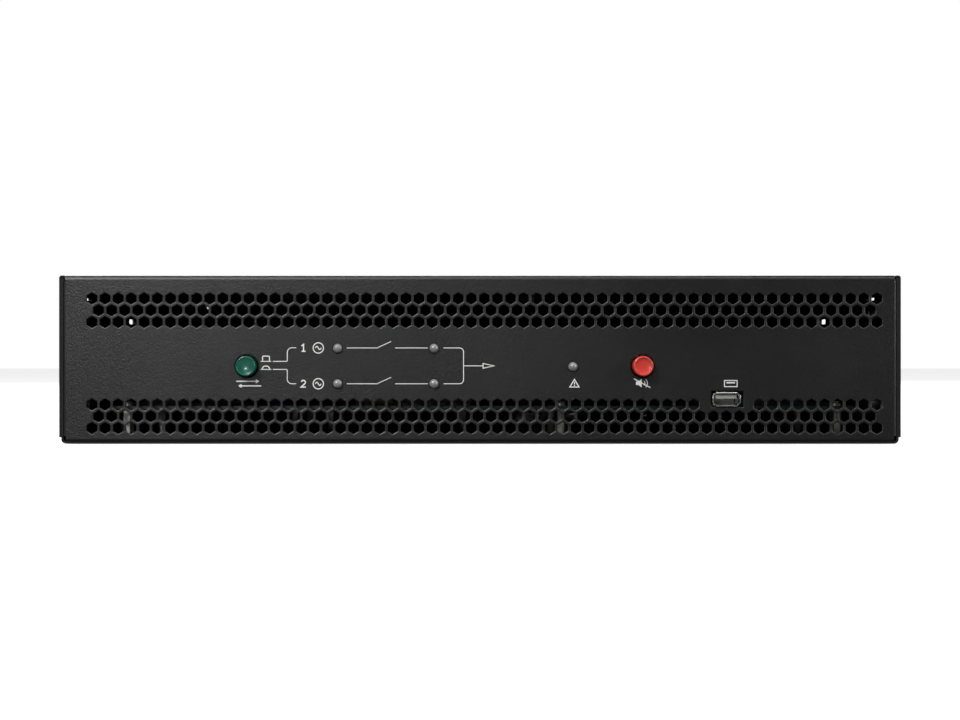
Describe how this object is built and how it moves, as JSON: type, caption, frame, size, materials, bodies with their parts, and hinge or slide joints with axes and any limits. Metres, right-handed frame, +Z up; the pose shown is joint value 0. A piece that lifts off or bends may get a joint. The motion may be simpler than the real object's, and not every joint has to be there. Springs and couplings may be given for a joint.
{
  "type": "rack static transfer switch",
  "caption": "Two-unit rack cabinet that transfers a load between two mains sources, with perforated front, push buttons, indicator lamps, rear fans, breakers and cable glands.",
  "frame": {"origin": "underside of the cabinet, midway across it and midway between the faces of the front and rear panels", "axes": "+X to the right seen from the front, +Y from the front panel to the rear panel, +Z up"},
  "size_m": [0.44, 0.4775, 0.088],
  "materials": {
    "powder_black": "fine texture powder coat",
    "zinc": "zinc plated",
    "black_screw": "black oxide",
    "green_cap": "satin moulded",
    "red_cap": "satin moulded",
    "lamp_body": "diffused, unlit",
    "black_plastic": "moulded",
    "circuit_board": "solder mask",
    "shell_steel": "bright plated",
    "white_plastic": "moulded",
    "blue_plastic": "moulded",
    "capacitor_sleeve": "shrink sleeve",
    "winding": "taped winding",
    "heatsink_metal": "extruded",
    "copper": "bare copper",
    "grey_plastic": "moulded",
    "lead_insulation": "extruded",
    "guard_wire": "nickel plated",
    "handle_white": "moulded",
    "brass_stud": "plated",
    "green_plastic": "moulded"
  },
  "bodies": {
    "cabinet": {"base_chassis": "powder_black", "front_panel": "powder_black", "front_panel_returns": "powder_black", "rear_panel": "powder_black", "rear_panel_returns": "powder_black", "top_cover": "powder_black", "rail_and_baffle": "powder_black", "cover_screws": "black_screw", "panel_screws": "zinc", "ear_clinch_nuts": "zinc", "button_switches": "black_plastic", "source1_input_lamp": "lamp_body", "source1_output_lamp": "lamp_body", "source2_input_lamp": "lamp_body", "source2_output_lamp": "lamp_body", "fault_lamp": "lamp_body", "lamp_spacers": "black_plastic", "display_board": "circuit_board", "alarm_buzzer": "black_plastic", "usb_shell": "shell_steel", "usb_insulator": "white_plastic", "control_board": "circuit_board", "hex_posts": "zinc", "board_screws": "zinc", "relays": "blue_plastic", "capacitors": "capacitor_sleeve", "transformers": "winding", "board_chips": "black_plastic", "board_connectors": "black_plastic", "surge_discs": "blue_plastic", "heatsink": "heatsink_metal", "heatsink_feet": "zinc", "thyristor_modules": "black_plastic", "power_screws": "zinc", "input_busbars": "copper", "output_busbar": "copper", "current_transformers": "blue_plastic", "auxiliary_boards": "circuit_board", "inner_terminals": "grey_plastic", "power_leads": "lead_insulation", "fan_frames": "black_plastic", "fan_motor_seats": "black_plastic", "finger_guards": "guard_wire", "source1_breaker": "black_plastic", "source2_breaker": "black_plastic", "rear_screws": "zinc", "gland_bodies": "black_plastic", "gland_nuts": "black_plastic", "ground_stud": "brass_stud", "serial_port": "shell_steel", "serial_insert": "black_plastic", "contact_header": "green_plastic", "slot_cover": "powder_black", "slot_thumbscrews": "zinc"},
    "transfer_button": {"transfer_button": "green_cap"},
    "silence_button": {"silence_button": "red_cap"},
    "source1_breaker_handle": {"source1_breaker_handle": "handle_white"},
    "source2_breaker_handle": {"source2_breaker_handle": "handle_white"},
    "left_fan_rotor": {"left_fan_rotor": "black_plastic"},
    "right_fan_rotor": {"right_fan_rotor": "black_plastic"}
  },
  "joints": [
    {"name": "transfer_button_press", "type": "slide", "parent": "cabinet", "child": "transfer_button", "axis": [0, 1, 0], "range_m": [0, 0.003], "stiffness_N_per_m": 400, "springref_m": -0.003},
    {"name": "silence_button_press", "type": "slide", "parent": "cabinet", "child": "silence_button", "axis": [0, 1, 0], "range_m": [0, 0.003], "stiffness_N_per_m": 400, "springref_m": -0.003},
    {"name": "source1_breaker_switch", "type": "hinge", "parent": "cabinet", "child": "source1_breaker_handle", "pos_m": [-0.002, 0.216, 0.044], "axis": [1, 0, 0], "range_deg": [0, 44]},
    {"name": "source2_breaker_switch", "type": "hinge", "parent": "cabinet", "child": "source2_breaker_handle", "pos_m": [-0.046, 0.216, 0.044], "axis": [1, 0, 0], "range_deg": [0, 44]},
    {"name": "left_fan_spin", "type": "hinge", "parent": "cabinet", "child": "left_fan_rotor", "pos_m": [0.082, 0.2113, 0.0443], "axis": [0, 1, 0], "continuous": true},
    {"name": "right_fan_spin", "type": "hinge", "parent": "cabinet", "child": "right_fan_rotor", "pos_m": [0.166, 0.2113, 0.0443], "axis": [0, 1, 0], "continuous": true}
  ]
}
